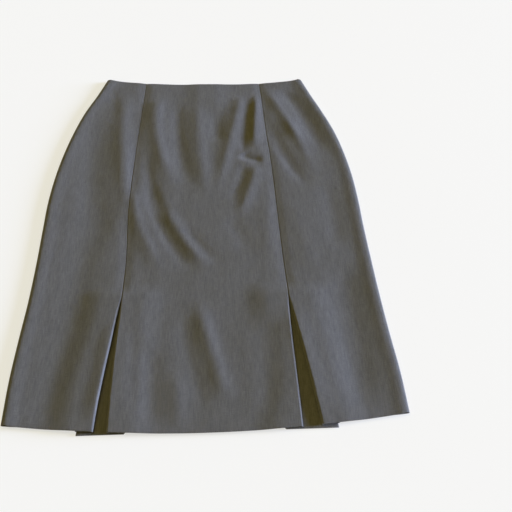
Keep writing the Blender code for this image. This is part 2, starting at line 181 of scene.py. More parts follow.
# Folded pleat edges: (y, right side front, centre front at right, centre front at left, left side front)
PLEAT_LINES = (
    (-125.5, -128, -128, 121, 121),
    (-160, -133.5, -130.5, 121.5, 126.5),
    (-200, -138.5, -132.5, 122.5, 133.5),
    (-250, -145, -134.5, 124.5, 141.5),
    (-300, -150.5, -135.5, 126.5, 149),
    (-331, -153, -135.5, 127.5, 153.5),
)

# Creases, each along a curve through three points of the laid skirt, in millimetres:
# (start x, start y, bend x, bend y, end x, end y, width at its -X side, width at its +X side, height)
CREASES = (
    # right side front
    (-142, 300, -147, 190, -124, 0, 15, 12, 1.7),
    (-176, 240, -194, 100, -156, -50, 20, 24, -2.0),
    (-190, 80, -196, -80, -206, -250, 26, 24, -1.7),
    (-134, -150, -147, -240, -157, -326, 12, 9, 1.4),
    (-198, 310, -225, 235, -238, 150, 12, 16, 0.5),
    (-176, 318, -172, 290, -170, 250, 9, 9, -0.4),
    (-205, -180, -216, -260, -222, -326, 18, 18, -0.9),
    # centre front, at right
    (-79, 288, -89, 205, -50, 55, 14, 11, 1.9),
    (-51, 283, -50, 180, -28, 70, 11, 12, -1.7),
    (-12, 290, -15, 190, 4, 30, 13, 13, 1.3),
    (-104, 160, -92, 80, -60, 10, 9, 9, -1.0),
    # centre front, under the waist at left
    (24, 270, 16, 218, 21, 172, 9, 11, -1.6),
    (60, 290, 47, 210, 5, 30, 11, 9, 1.5),
    (79, 288, 67, 205, 62, 150, 7, 6, -1.3),
    (92, 300, 86, 230, 80, 152, 7, 10, 2.2),
    # the dimple by the left seam, and the fold that runs out of it
    (60, 152, 72, 141, 99, 137, 7, 8, -2.4),
    (84, 129, 73, 82, 48, 12, 9, 11, 1.7),
    (62, 130, 54, 90, 34, 45, 8, 8, -1.2),
    # slanting drag across the hips
    (-100, 106, -78, 10, -17, -95, 9, 12, -1.6),
    (-70, 40, -42, -12, 6, -88, 11, 10, 1.4),
    (-120, 90, -111, 10, -62, -95, 13, 9, 1.3),
    (-40, 5, -20, -30, 22, -75, 8, 9, -0.7),
    (30, 20, 48, -12, 60, -60, 12, 14, -0.7),
    (95, 60, 96, 0, 90, -70, 14, 10, 0.6),
    # lower centre front
    (-17, -130, 3, -205, 28, -300, 13, 11, 1.7),
    (-36, -150, -26, -225, -2, -315, 12, 12, -0.9),
    (86, -150, 88, -230, 80, -325, 18, 16, -1.5),
    (-84, -200, -82, -260, -80, -330, 12, 14, -1.1),
    (-50, -240, -42, -285, -38, -330, 12, 10, 0.8),
    (52, -170, 62, -245, 58, -325, 12, 12, 0.5),
    (-108, -160, -105, -240, -103, -320, 9, 10, -0.6),
    # left side front
    (110, 308, 138, 238, 174, 156, 11, 10, 1.6),
    (133, 308, 171, 242, 204, 132, 11, 14, -2.1),
    (107, 240, 130, 152, 173, 70, 10, 13, -1.5),
    (140, 240, 160, 180, 190, 90, 9, 9, 0.7),
    (206, -60, 212, -190, 214, -325, 24, 22, -2.2),
    (123, -135, 138, -230, 153, -328, 12, 18, 1.6),
    (140, 60, 150, -20, 160, -90, 14, 18, 0.5),
    (196, 100, 205, 20, 206, -60, 16, 14, -0.9),
)


class SkirtCutSettings(bpy.types.PropertyGroup):
    cloth_thickness: FloatProperty(
        name="Cloth thickness", description="Thickness of the bare worsted",
        default=0.45 * MM, unit="LENGTH")
    turning_gap: FloatProperty(
        name="Turning gap", description="From the middle of a panel to the middle of its turning",
        default=0.60 * MM, unit="LENGTH")
    hem_turning: FloatProperty(
        name="Hem turning", description="Depth of cloth turned up inside the hem",
        default=36 * MM, unit="LENGTH")
    waist_turning: FloatProperty(
        name="Waist turning", description="Depth of cloth turned in at the waist edge",
        default=9 * MM, unit="LENGTH")
    grid_step: FloatProperty(
        name="Grid step", description="Distance between the rows and columns of a front panel",
        default=2.5 * MM, unit="LENGTH")
    back_step: FloatProperty(
        name="Back grid step", description="Distance between the rows and columns of a back panel",
        default=5 * MM, unit="LENGTH")
    base_lift: FloatProperty(
        name="Front lift", description="Usual height of the front over what it could rest on",
        default=3.0 * MM, unit="LENGTH")
    crease_depth: FloatProperty(
        name="Crease depth", description="How deep the creases are, against the table of creases",
        default=1.15, min=0.0)
    edge_lift: FloatProperty(
        name="Side lift", description="Height that the front keeps where it rolls over at the sides",
        default=4.6 * MM, unit="LENGTH")
    return_depth: FloatProperty(
        name="Pleat return", description="Depth of cloth folded under at a pleat's edge",
        default=24 * MM, unit="LENGTH")
    pleat_roll: FloatProperty(
        name="Pleat roll", description="Width over which a pleat's edge rounds over",
        default=2.6 * MM, unit="LENGTH")


class SkirtClothSettings(bpy.types.PropertyGroup):
    light_yarn: FloatVectorProperty(
        name="Light yarn", description="Colour of the paler yarns of the melange",
        default=(0.152, 0.146, 0.130), subtype="COLOR", min=0.0, max=1.0)
    dark_yarn: FloatVectorProperty(
        name="Dark yarn", description="Colour of the darker yarns of the melange",
        default=(0.067, 0.064, 0.057), subtype="COLOR", min=0.0, max=1.0)
    tape_colour: FloatVectorProperty(
        name="Zip tape", description="Colour of the zip's woven tape",
        default=(0.055, 0.055, 0.056), subtype="COLOR", min=0.0, max=1.0)
    coil_colour: FloatVectorProperty(
        name="Zip coil", description="Colour of the zip's nylon coil",
        default=(0.070, 0.070, 0.075), subtype="COLOR", min=0.0, max=1.0)
    enamel_colour: FloatVectorProperty(
        name="Zip enamel", description="Colour of the paint on the slider and its tab",
        default=(0.110, 0.110, 0.118), subtype="COLOR", min=0.0, max=1.0)


class SkirtStageSettings(bpy.types.PropertyGroup):
    floor_colour: FloatVectorProperty(
        name="Floor", description="Colour of the plain surface under the skirt",
        default=(0.94, 0.94, 0.93), subtype="COLOR", min=0.0, max=1.0)
    window_strength: FloatProperty(
        name="Window light", description="Strength of the cool light from the wearer's left",
        default=13.4, min=0.0)
    window_height: FloatProperty(
        name="Window height", description="Angle of the cool light above the surface",
        default=math.radians(9.5), subtype="ANGLE")
    lamp_strength: FloatProperty(
        name="Lamp light", description="Strength of the warm light from the wearer's right",
        default=0.80, min=0.0)
    room_strength: FloatProperty(
        name="Room light", description="Strength of the even light of the room",
        default=0.32, min=0.0)


def smooth_step(value):
    """0 below 0, 1 above 1, and a soft ramp between."""
    t = np.clip(value, 0.0, 1.0)
    return t * t * (3 - 2 * t)


def soft_maximum(first, second):
    """The larger of two heights, with a soft change from one to the other."""
    return (first + second + np.sqrt((first - second) ** 2 + LIFT_SOFTNESS**2)) / 2


def along(table, column, y):
    """A line's x at height y: a smooth curve through one column of a table."""
    rows = np.array(sorted(table))
    ys = rows[:, 0] * MM
    xs = rows[:, column] * MM
    slopes = np.gradient(xs, ys)
    i = np.clip(np.searchsorted(ys, y) - 1, 0, len(ys) - 2)
    span = ys[i + 1] - ys[i]
    t = np.clip((y - ys[i]) / span, 0.0, 1.0)
    start = (2 * t**3 - 3 * t**2 + 1) * xs[i] + (t**3 - 2 * t**2 + t) * span * slopes[i]
    end = (3 * t**2 - 2 * t**3) * xs[i + 1] + (t**3 - t**2) * span * slopes[i + 1]
    return start + end


def side_line(side, y):
    return along(PANEL_LINES, 1 if side == RIGHT else 4, y)


def seam_line(side, y):
    return along(PANEL_LINES, 2 if side == RIGHT else 3, y)


def side_fold(side, y):
    """The side front's pleat edge, or its seam above the pleat."""
    folded = along(PLEAT_LINES, 1 if side == RIGHT else 4, y)
    return np.where(y > PLEAT_TOP_Y, seam_line(side, y), folded)


def centre_fold(side, y):
    """The centre front's pleat edge, or its seam above the pleat."""
    folded = along(PLEAT_LINES, 2 if side == RIGHT else 3, y)
    return np.where(y > PLEAT_TOP_Y, seam_line(side, y), folded)


def curved_y(x, y, waist_dip, hem_rise=0.0):
    """A row's true y: the waist dips in the middle and the hem lifts towards the sides."""
    waist = smooth_step((y - WAIST_Y + WAIST_REACH) / WAIST_REACH)
    dip = waist_dip * np.maximum(0.0, 1 - np.abs(x / WAIST_HALF) ** WAIST_CURVE)
    hem = smooth_step((HEM_Y + HEM_REACH - y) / HEM_REACH)
    lift = HEM_LIFT * (x / HEM_HALF) ** 2 + hem_rise * np.maximum(0.0, 1 - (x / HEM_HALF) ** 4)
    return y - waist * dip + hem * lift


def crease_height(x, y, crease):
    """One crease: its own bell on each side of its line, fading out towards its ends."""
    start_x, start_y, bend_x, bend_y, end_x, end_y, width_low, width_high, crest = crease
    t = np.linspace(0.0, 1.0, CREASE_SAMPLES)
    pull_x = 2 * bend_x - (start_x + end_x) / 2
    pull_y = 2 * bend_y - (start_y + end_y) / 2
    line_x = ((1 - t) ** 2 * start_x + 2 * t * (1 - t) * pull_x + t**2 * end_x) * MM
    line_y = ((1 - t) ** 2 * start_y + 2 * t * (1 - t) * pull_y + t**2 * end_y) * MM
    reach = 3 * max(width_low, width_high) * MM
    near = (x > line_x.min() - reach) & (x < line_x.max() + reach)
    near &= (y > line_y.min() - reach) & (y < line_y.max() + reach)
    height = np.zeros_like(x)
    if not near.any():
        return height
    px, py = x[near], y[near]
    away = (px[:, None] - line_x) ** 2 + (py[:, None] - line_y) ** 2
    nearest = away.argmin(axis=1)
    run_x = np.gradient(line_x)
    run_y = np.gradient(line_y)
    run = np.hypot(run_x, run_y)
    dx = px - line_x[nearest]
    dy = py - line_y[nearest]
    tangent_x = (run_x / run)[nearest]
    tangent_y = (run_y / run)[nearest]
    forward = dx * tangent_x + dy * tangent_y
    across = dx * tangent_y - dy * tangent_x
    half_run = run[nearest] / 2
    past = np.maximum(np.abs(forward) - half_run, 0.0)
    place = (nearest + np.clip(forward / run[nearest], -0.5, 0.5)) / (CREASE_SAMPLES - 1)
    fade = smooth_step(place / CREASE_FADE) * smooth_step((1 - place) / CREASE_FADE)
    # travelling down the skirt, the +X side of the line is on its left hand
    towards_high = np.where(run_y[nearest] <= 0, -across, across)
    width = np.where(towards_high > 0, width_high, width_low) * MM
    height[near] = crest * MM * fade * np.exp(-(across**2 + past**2) / width**2)
    return height


def waviness(x, y):
    """Small, broad unevenness of cloth that has been worn and laid down."""
    rng = np.random.default_rng(WAVE_SEED)
    height = np.zeros_like(x)
    for _ in range(WAVE_COUNT):
        length = rng.uniform(*WAVE_LENGTHS)
        heading = rng.uniform(-0.5, 0.5)
        phase = rng.uniform(0, 2 * math.pi)
        run = x * math.cos(heading) + y * math.sin(heading)
        height += np.sin(2 * math.pi * run / length + phase)
    return height * WAVE_HEIGHT / math.sqrt(WAVE_COUNT)


def creased(x, y):
    flat_x, flat_y = x.ravel(), y.ravel()
    height = waviness(flat_x, flat_y)
    depth = bpy.context.scene.skirt_cut.crease_depth
    for crease in CREASES:
        height += depth * crease_height(flat_x, flat_y, crease)
    return height.reshape(x.shape)


def recess(x, y):
    """Rise of the back over the zip's pull tab."""
    across = 1 - smooth_step((np.abs(x) - RECESS_HALF) / RECESS_FADE)
    down = smooth_step((y - RECESS_END_Y + RECESS_RAMP) / RECESS_RAMP)
    return RECESS_LIFT * across * down


def zip_cover(x, y):
    """How much higher the front has to lie over the zip than over the back alone."""
    beside = 1 - smooth_step((np.abs(x) - COVER_HALF) / COVER_FADE)
    lift = COIL_LIFT * smooth_step((y - ZIP_END_Y + COVER_FADE) / COVER_FADE)
    lift += RECESS_LIFT * smooth_step((y - TAB_COVER_Y + COVER_FADE) / COVER_FADE)
    lift += SLIDER_LIFT * smooth_step((y - SLIDER_COVER_Y + COVER_FADE) / COVER_FADE)
    return lift * beside


def pleat_rest(x, row_y):
    """How much higher the front has to lie over the layers of the pleats."""
    down = smooth_step((PLEAT_TOP_Y + PLEAT_RAMP - row_y) / PLEAT_RAMP)
    lift = np.zeros_like(x)
    for side in (RIGHT, LEFT):
        outer = side_fold(side, row_y)
        inner = centre_fold(side, row_y)
        reach = np.maximum(np.minimum(outer, inner) - x, x - np.maximum(outer, inner))
        lift += PLEAT_STACK * down * (1 - smooth_step((reach - STACK_HALF) / STACK_FADE))
    return lift


def front_height(x, y, row_y):
    """Height of the middle of the front's cloth, before its edges are turned."""
    cut = bpy.context.scene.skirt_cut
    lift = cut.base_lift + creased(x, y)
    above_pleat = smooth_step((row_y - PLEAT_TOP_Y) / PLEAT_RAMP)
    for side in (RIGHT, LEFT):
        to_seam = x - seam_line(side, np.maximum(row_y, PLEAT_TOP_Y))
        lift -= above_pleat * SEAM_DIP * np.exp(-(to_seam / SEAM_DIP_WIDTH) ** 2)
    lift = soft_maximum(lift, 0.0)
    to_side = np.minimum(side_line(LEFT, row_y) - x, x - side_line(RIGHT, row_y)) - SIDE_ROLL
    lift += (cut.edge_lift - lift) * np.exp(-(np.maximum(to_side, 0.0) / SIDE_BLEND) ** 2)
    return FRONT_REST + soft_maximum(pleat_rest(x, row_y) + lift, zip_cover(x, y))


def waist_drop(row_y):
    """How far a row lies below the face where the waist edge rounds over."""
    inset = np.clip(1 - (WAIST_Y - row_y) / WAIST_ROLL, 0.0, 1.0)
    return WAIST_ROLL * (1 - np.sqrt(1 - inset**2))


def front_points(xs, row_y):
    """The front's face at a grid of x, one row of it for each row's height."""
    rows = np.broadcast_to(row_y[:, None], xs.shape)
    ys = curved_y(xs, rows, FRONT_WAIST_DIP)
    zs = front_height(xs, ys, rows) - waist_drop(rows)
    return np.stack([xs, ys, zs], axis=-1)


def edge_points(edge, inward, row_y):
    """A panel's edge: the pleat's return, its turn, and the roll up to the panel's face.

    Above the pleats only the roll is there, and it turns down into the seam."""
    cut = bpy.context.scene.skirt_cut
    opened = smooth_step((PLEAT_TOP_Y - row_y) / PLEAT_RAMP)
    roll = SEAM_ROLL + (cut.pleat_roll - SEAM_ROLL) * opened
    top = front_points((edge + inward * roll)[:, None], row_y)[:, 0, 2]
    drop = SEAM_ROLL + ((top - RETURN_HEIGHT) / 2 - SEAM_ROLL) * opened
    columns = []
    for share in np.linspace(0, 1, RETURN_SPANS, endpoint=False):
        depth = cut.return_depth + (roll - cut.return_depth) * share
        columns.append((edge + inward * depth, np.full_like(edge, RETURN_HEIGHT)))
    for angle in np.linspace(0, math.pi / 2, QUARTER_SPANS, endpoint=False):
        rise = (top - drop - RETURN_HEIGHT) * (1 - math.cos(angle))
        columns.append((edge + inward * roll * (1 - math.sin(angle)), RETURN_HEIGHT + rise))
    for angle in np.linspace(math.pi / 2, 0, QUARTER_SPANS + 1):
        columns.append((edge + inward * roll * (1 - math.sin(angle)), top - drop * (1 - math.cos(angle))))
    xs = np.stack([x for x, _ in columns], axis=1)
    zs = np.stack([z for _, z in columns], axis=1)
    rows = np.broadcast_to(row_y[:, None], xs.shape)
    return np.stack([xs, curved_y(xs, rows, FRONT_WAIST_DIP), zs], axis=-1)


def side_points(side, row_y, angles, waist_dip, hem_rise=0.0):
    """Points round the skirt's side, by angle about the middle of the roll."""
    cut = bpy.context.scene.skirt_cut
    edge = side_line(side, row_y)
    y = curved_y(edge, row_y, waist_dip, hem_rise)
    half_height = (FRONT_REST + cut.edge_lift - BACK_HEIGHT) / 2
    columns = []
    for angle in np.radians(angles):
        depth = SIDE_ROLL if angle > 0 else half_height
        x = edge - side * depth * (1 - math.cos(angle))
        z = np.full_like(x, BACK_HEIGHT + half_height * (1 + math.sin(angle)))
        if angle > 0:
            z -= waist_drop(row_y) * math.sin(angle)
        columns.append(np.stack([x, y, z], axis=-1))
    return np.stack(columns, axis=1)


def inner_normals(points, facing):
    """Unit normals to the inside of the cloth, for a grid of rows from waist to hem."""
    normals = np.cross(np.gradient(points, axis=1), np.gradient(points, axis=0)) * facing
    return normals / np.linalg.norm(normals, axis=-1, keepdims=True)


def turning(points, inner, reach, depth):
    """Rows that turn the last row's edge inside and lie along the cloth for a depth.

    reach is each row's distance from that edge."""
    gap = bpy.context.scene.skirt_cut.turning_gap
    outward = points[-1] - points[-3]
    outward /= np.linalg.norm(outward, axis=-1, keepdims=True)
    rows = []
    for angle in np.linspace(0, math.pi, QUARTER_SPANS)[1:]:
        bend = outward * math.sin(angle) + inner[-1] * (1 - math.cos(angle))
        rows.append(points[-1] + bend * gap / 2)
    distances = np.linspace(0, depth, TURNING_SPANS + 1)[1:]
    nearest = [int(np.abs(reach - distance).argmin()) for distance in distances]
    for row in dict.fromkeys(nearest):
        rows.append(points[row] + inner[row] * gap)
    return np.stack(rows)


def with_turnings(points, inner, row_y, waist=True):
    """A panel's grid with its hem turning, and its waist turning, and how many rows were put first."""
    cut = bpy.context.scene.skirt_cut
    hem = turning(points, inner, row_y - HEM_Y, cut.hem_turning)
    if not waist:
        return np.concatenate([points, hem]), 0
    upper = turning(points[::-1], inner[::-1], (WAIST_Y - row_y)[::-1], cut.waist_turning)
    return np.concatenate([upper[::-1], points, hem]), len(upper)


def sheet_mesh(name, points, gone=None):
    """A mesh of a grid of points, less the faces that gone says aren't there."""
    row_count, column_count = points.shape[:2]
    index = np.arange(row_count * column_count).reshape(row_count, column_count)
    faces = np.stack([index[:-1, :-1], index[1:, :-1], index[1:, 1:], index[:-1, 1:]], axis=-1)
    if gone is not None:
        faces = faces[~gone]
    faces = faces.reshape(-1, 4)
    used = np.unique(faces)
    renumber = np.zeros(index.size, dtype=int)
    renumber[used] = np.arange(len(used))
    mesh = bpy.data.meshes.new(name)
    mesh.from_pydata(points.reshape(-1, 3)[used].tolist(), [], renumber[faces].tolist())
    mesh.update()
    mesh.shade_smooth()
    return mesh


def panel_rows(step):
    """Row heights from waist to hem, one of them at the top of the pleats, closer at the waist."""
    inset = EDGE_ROWS[-1] + step
    upper = np.linspace(WAIST_Y - inset, PLEAT_TOP_Y, round((WAIST_Y - inset - PLEAT_TOP_Y) / step) + 1)
    lower = np.linspace(PLEAT_TOP_Y, HEM_Y, round((PLEAT_TOP_Y - HEM_Y) / step) + 1)
    close = WAIST_Y - np.array(EDGE_ROWS)
    return np.concatenate([close, upper, lower[1:]]), len(close) + len(upper) - 1


def spread(start, end, step, open_end=True):
    """Columns between two lines, about a step apart."""
    spans = round(np.abs(end - start).max() / step)
    share = np.linspace(0, 1, spans + 1)
    if open_end:
        share = share[:-1]
    return start[:, None] + (end - start)[:, None] * share


def open_pleats(points, pleat_row, first, both_sides):
    """Marks the faces above the pleats that would be their returns."""
    gone = np.zeros((points.shape[0] - 1, points.shape[1] - 1), dtype=bool)
    columns = RETURN_SPANS + QUARTER_SPANS
    gone[:first + pleat_row, :columns] = True
    if both_sides:
        gone[:first + pleat_row, -columns:] = True
    return gone


def centre_front_mesh(name):
    cut = bpy.context.scene.skirt_cut
    row_y, pleat_row = panel_rows(cut.grid_step)
    right_edge = edge_points(centre_fold(RIGHT, row_y) + EDGE_GAP, 1, row_y)
    left_edge = edge_points(centre_fold(LEFT, row_y) - EDGE_GAP, -1, row_y)[:, ::-1]
    start = right_edge[:, -1, 0]
    end = left_edge[:, 0, 0]
    near = np.array(EDGE_COLUMNS)
    middle = spread(start + near[-1], end - near[-1], cut.grid_step)
    xs = np.concatenate([start[:, None] + near[:-1], middle, end[:, None] - near[::-1]], axis=1)
    points = np.concatenate([right_edge, front_points(xs, row_y), left_edge], axis=1)
    grid, first = with_turnings(points, inner_normals(points, 1), row_y)
    return sheet_mesh(name, grid, open_pleats(grid, pleat_row, first, True))


def side_front_mesh(name, side):
    cut = bpy.context.scene.skirt_cut
    row_y, pleat_row = panel_rows(cut.grid_step)
    edge = edge_points(side_fold(side, row_y) + side * EDGE_GAP, side, row_y)
    start = edge[:, -1, 0]
    end = side_line(side, row_y) - side * SIDE_ROLL
    near = side * np.array(EDGE_COLUMNS)
    xs = np.concatenate([start[:, None] + near[:-1], spread(start + near[-1], end, cut.grid_step)], axis=1)
    roll = side_points(side, row_y, np.linspace(90, SIDE_SEAM_ANGLES[0], SIDE_SPANS + 1), FRONT_WAIST_DIP)
    points = np.concatenate([edge, front_points(xs, row_y), roll], axis=1)
    grid, first = with_turnings(points, inner_normals(points, side), row_y)
    return sheet_mesh(name, grid, open_pleats(grid, pleat_row, first, False))


def underlay_mesh(name, side):
    """The pleat's backing, from under one return to under the other."""
    cut = bpy.context.scene.skirt_cut
    row_y = np.linspace(UNDERLAY_TOP_Y, HEM_Y, round((UNDERLAY_TOP_Y - HEM_Y) / cut.grid_step) + 1)
    outer = side_fold(side, row_y) + side * (cut.return_depth - UNDERLAY_MARGIN)
    inner = centre_fold(side, row_y) - side * (cut.return_depth - UNDERLAY_MARGIN)
    xs = inner[:, None] + (outer - inner)[:, None] * np.linspace(0, 1, UNDERLAY_SPANS + 1)
    rows = np.broadcast_to(row_y[:, None], xs.shape)
    reach = (UNDERLAY_TOP_Y - rows) / (UNDERLAY_TOP_Y - HEM_Y)
    middle = ((outer + inner) / 2)[:, None]
    ys = curved_y(middle, rows, FRONT_WAIST_DIP) - UNDERLAY_DROP * reach
    points = np.stack([xs, ys, np.full_like(xs, UNDERLAY_HEIGHT)], axis=-1)
    grid, _ = with_turnings(points, inner_normals(points, side), row_y, waist=False)
    return sheet_mesh(name, grid)


def back_seam(side, y):
    """The edge of a back panel at the centre-back seam, parted where the slider's bridge comes out."""
    return side * (EDGE_GAP + SLOT_PART * np.exp(-((y - SLIDER_Y) / SLOT_LENGTH) ** 2))


def back_mesh(name, side):
    cut = bpy.context.scene.skirt_cut
    row_y, _ = panel_rows(cut.back_step)
    seam = back_seam(side, curved_y(0.0, row_y, BACK_WAIST_DIP, BACK_HEM_RISE))
    near = side * np.array([0.0] + EDGE_COLUMNS)
    end = side_line(side, row_y) - side * SIDE_ROLL
    xs = np.concatenate([seam[:, None] + near[:-1], spread(seam + near[-1], end, cut.back_step)], axis=1)
    rows = np.broadcast_to(row_y[:, None], xs.shape)
    ys = curved_y(xs, rows, BACK_WAIST_DIP, BACK_HEM_RISE)
    flat = np.stack([xs, ys, BACK_HEIGHT + recess(xs, ys)], axis=-1)
    angles = np.linspace(-90, SIDE_SEAM_ANGLES[1], SIDE_SPANS + 1)
    points = np.concatenate([flat, side_points(side, row_y, angles, BACK_WAIST_DIP)], axis=1)
    grid, _ = with_turnings(points, inner_normals(points, -side), row_y)
    return sheet_mesh(name, grid)


def tape_mesh(name, side):
    """A zip tape, along the inside of the back."""
    cut = bpy.context.scene.skirt_cut
    top = WAIST_Y - BACK_WAIST_DIP - cut.waist_turning
    row_y = np.linspace(top, ZIP_END_Y, round((top - ZIP_END_Y) / cut.grid_step) + 1)
    xs = np.broadcast_to(side * np.linspace(*TAPE_EDGES, UNDERLAY_SPANS // 3), (len(row_y), UNDERLAY_SPANS // 3))
    ys = np.broadcast_to(row_y[:, None], xs.shape)
    return sheet_mesh(name, np.stack([xs, ys, TAPE_HEIGHT + recess(xs, ys)], axis=-1))


def coil_curve(name):
    """The zip's two nylon coils, meshed in each other up to the slider."""
    curve = bpy.data.curves.new(name, "CURVE")
    curve.dimensions = "3D"
    curve.bevel_depth = COIL_WIRE
    curve.bevel_resolution = 1
    curve.use_fill_caps = True
    top = SLIDER_Y - SLIDER_HALF_LENGTH - COIL_PITCH
    turns = int((top - ZIP_END_Y) / COIL_PITCH)
    angle = np.linspace(0, 2 * math.pi * turns, turns * COIL_SIDES + 1)
    for side, ahead in ((RIGHT, 0.0), (LEFT, math.pi)):
        x = side * COIL_HALF_WIDTH * (0.4 - np.cos(angle + ahead))
        y = top - COIL_PITCH * angle / (2 * math.pi)
        z = COIL_HEIGHT + recess(0.0, y) + side * COIL_HALF_THICKNESS * np.sin(angle + ahead)
        spline = curve.splines.new("POLY")
        spline.points.add(len(angle) - 1)
        spline.points.foreach_set("co", np.stack([x, y, z, np.ones_like(x)], axis=1).ravel())
    return curve


def cloth_piece(name, mesh, look, thickness, slot, flat, area, rests_on):
    """Links a piece of cloth in place of its CAD node, with its thickness and finish."""
    piece = bpy.data.objects.new(name + "_cloth", mesh)
    bpy.context.scene.collection.objects.link(piece)
    mesh.materials.append(look)
    shell = piece.modifiers.new("thickness", "SOLIDIFY")
    shell.thickness = thickness
    shell.offset = 0.0
    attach(piece, "skirt")
    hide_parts(name)
    return piece


def place(tree, kind, **settings):
    """Adds a node with the given settings."""
    node = tree.nodes.new(kind)
    for key, value in settings.items():
        if hasattr(node, key) and not isinstance(value, bpy.types.NodeSocket):
            setattr(node, key, value)
    return node


def feed(tree, node, **inputs):
    """Fills a node's inputs, by name with _ for a space: sockets are linked, values typed in."""
    for key, value in inputs.items():
        socket = node.inputs[int(key[1:])] if key[1:].isdigit() else node.inputs[key.replace("_", " ")]
        if isinstance(value, bpy.types.NodeSocket):
            tree.links.new(value, socket)
        else:
            socket.default_value = value
    return node


def sums(tree, operation, first, second=0.0, third=0.0):
    """One Math node's result."""
    node = place(tree, "ShaderNodeMath", operation=operation)
    feed(tree, node, i0=first, i1=second, i2=third)
    return node.outputs[0]


def point_at(tree, x, y, z=0.0):
    return feed(tree, place(tree, "ShaderNodeCombineXYZ"), X=x, Y=y, Z=z).outputs[0]


def stretched(tree, x, y, across, along, z=0.0):
    """A point for a noise, with its own scale across and along the cloth."""
    return point_at(tree, sums(tree, "MULTIPLY", x, across), sums(tree, "MULTIPLY", y, along), z)


def noise_at(tree, vector, scale, detail=2.0, roughness=0.5):
    """A noise's value, from about 0.2 to 0.8."""
    node = place(tree, "ShaderNodeTexNoise", noise_dimensions="3D")
    feed(tree, node, Vector=vector, Scale=scale, Detail=detail, Roughness=roughness)
    return node.outputs["Fac"]


def mixed(tree, factor, first, second, blend="MIX"):
    node = place(tree, "ShaderNodeMix", data_type="RGBA", blend_type=blend)
    feed(tree, node, i0=factor, i6=first, i7=second)
    return node.outputs[2]


def new_group(name, inputs, outputs):
    """An empty node group, with its sockets given as (name, type, default)."""
    group = bpy.data.node_groups.new(name, "ShaderNodeTree")
    for label, kind, default in inputs:
        socket = group.interface.new_socket(name=label, in_out="INPUT", socket_type="NodeSocket" + kind)
        if default is not None:
            socket.default_value = default
    for label, kind in outputs:
        group.interface.new_socket(name=label, in_out="OUTPUT", socket_type="NodeSocket" + kind)
    return group, place(group, "NodeGroupInput").outputs, place(group, "NodeGroupOutput")


def woven_group():
    """Weave: twill threads over and under, each yarn of its own tone, soft slubs along the warp, and painted shade
    between the threads.
    """
    tree, given, out = new_group("woven_cloth", (
        ("Vector", "Vector", None),
        ("Light", "Color", (0.2, 0.2, 0.2, 1)), ("Dark", "Color", (0.05, 0.05, 0.05, 1)),
        ("Yarns per Metre", "Float", 2200.0), ("Streaks", "Float", 0.5), ("Flecks", "Float", 0.3),
    ), (("Color", "Color"), ("Threads", "Float"), ("Nap", "Float")))
    split = feed(tree, place(tree, "ShaderNodeSeparateXYZ"), Vector=given["Vector"]).outputs
    across = sums(tree, "MULTIPLY", split["X"], given["Yarns per Metre"])
    down = sums(tree, "MULTIPLY", split["Y"], given["Yarns per Metre"])
    warp = sums(tree, "FLOOR", across)
    weft = sums(tree, "FLOOR", down)
    diagonal = sums(tree, "FRACT", sums(tree, "MULTIPLY", sums(tree, "ADD", warp, weft), 0.25))
    warp_up = sums(tree, "LESS_THAN", diagonal, 0.5)
    warp_round = sums(tree, "SINE", sums(tree, "MULTIPLY", sums(tree, "FRACT", across), math.pi))
    weft_round = sums(tree, "SINE", sums(tree, "MULTIPLY", sums(tree, "FRACT", down), math.pi))
    threads = place(tree, "ShaderNodeMix", data_type="FLOAT")
    feed(tree, threads, i0=warp_up, i2=sums(tree, "MULTIPLY", weft_round, 0.8), i3=warp_round)
    warp_tone = noise_at(tree, stretched(tree, warp, down, 0.73, 0.035), 1.0)
    weft_tone = noise_at(tree, stretched(tree, across, weft, 0.05, 0.73, 7.0), 1.0)
    tone = place(tree, "ShaderNodeMix", data_type="FLOAT")
    feed(tree, tone, i0=sums(tree, "MULTIPLY_ADD", warp_up, 0.5, 0.3), i2=weft_tone, i3=warp_tone)
    slub = noise_at(tree, stretched(tree, split["X"], split["Y"], 620.0, 60.0), 1.0, 3.0, 0.6)
    broad = noise_at(tree, stretched(tree, split["X"], split["Y"], 170.0, 26.0, 3.0), 1.0)
    bands = sums(tree, "MULTIPLY", sums(tree, "SUBTRACT", broad, 0.5), 0.6)
    streak = sums(tree, "ADD", sums(tree, "SUBTRACT", slub, 0.5), bands)
    fleck = noise_at(tree, stretched(tree, split["X"], split["Y"], 1500.0, 600.0, 5.0), 1.0, 2.0, 0.8)
    value = sums(tree, "MULTIPLY_ADD", streak, given["Streaks"], tone.outputs[0])
    value = sums(tree, "MULTIPLY_ADD", sums(tree, "SUBTRACT", fleck, 0.5), given["Flecks"], value)
    value = sums(tree, "MULTIPLY_ADD", sums(tree, "SUBTRACT", value, 0.5), 1.5, 0.5)
    value = feed(tree, place(tree, "ShaderNodeClamp"), Value=value).outputs[0]
    # painted shade: the yarn colour is multiplied down by up to a quarter towards each thread's edges, where the
    # threads meet, and a little more on the weft
    between = sums(tree, "MULTIPLY_ADD", threads.outputs[0], 0.25, 0.75)
    colour = mixed(tree, value, given["Dark"], given["Light"])
    shade = feed(tree, place(tree, "ShaderNodeCombineColor"), Red=between, Green=between, Blue=between).outputs[0]
    feed(tree, out, Color=mixed(tree, 1.0, colour, shade, "MULTIPLY"), Threads=threads.outputs[0], Nap=fleck)
    return tree


